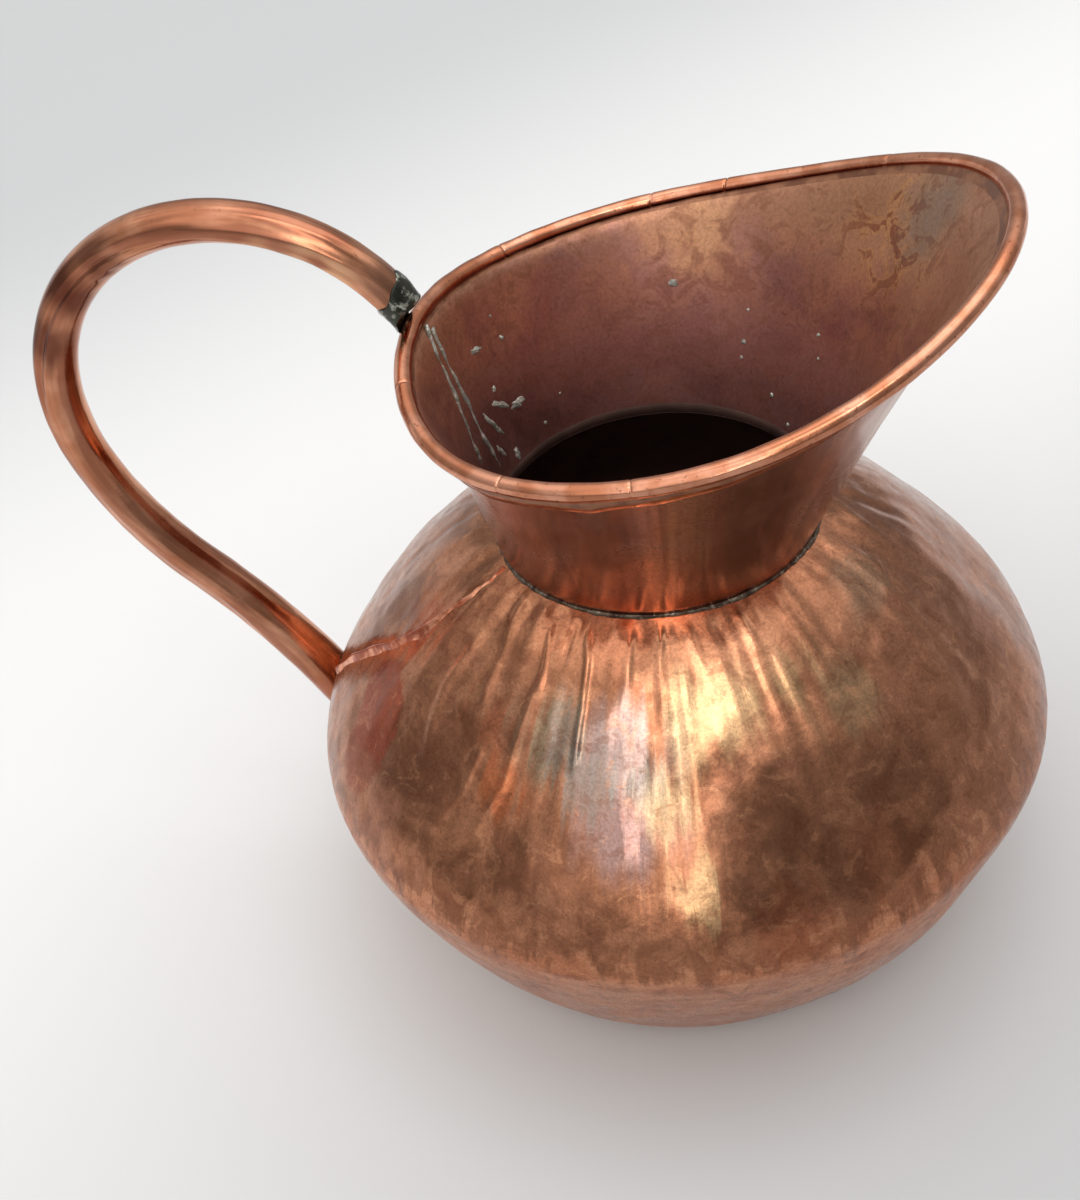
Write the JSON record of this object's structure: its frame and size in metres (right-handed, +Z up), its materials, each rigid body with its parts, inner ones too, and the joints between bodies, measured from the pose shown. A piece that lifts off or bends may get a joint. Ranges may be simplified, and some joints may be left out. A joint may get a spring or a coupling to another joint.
{
  "type": "copper pitcher",
  "caption": "Hand-raised copper pitcher with a squat round body, flared slanted mouth with a wired edge, and a looped tube handle soldered on.",
  "frame": {"origin": "centre of the flat base disc's underside, on the body's axis, at the level the pitcher stands on", "axes": "+X from the body's axis towards the spout, with the handle towards -X; +Z up through the neck; +Y completes the right-handed frame"},
  "size_m": [0.2371, 0.18, 0.1984],
  "materials": {
    "body_copper": "hand-polished copper with brown patina and heat tint",
    "seam_copper": "copper lap edge, brightened by wear",
    "base_copper": "worn copper sheet",
    "neck_copper": "copper sheet, satin outside and tarnished purple-brown inside",
    "handle_copper": "drawn copper tube, satin with long polishing lines",
    "solder": "oxidised soft solder, lumpy and dull",
    "iron_wire": "plain drawn iron wire"
  },
  "bodies": {
    "root": {"body_shell": "body_copper", "body_seam": "seam_copper", "base_disc": "base_copper", "base_solder": "solder", "neck_cone": "neck_copper", "neck_seam": "solder", "rim_wire": "iron_wire", "neck_solder": "solder", "handle_tube": "handle_copper", "handle_foot_solder": "solder", "handle_top_solder": "solder"}
  },
  "joints": []
}
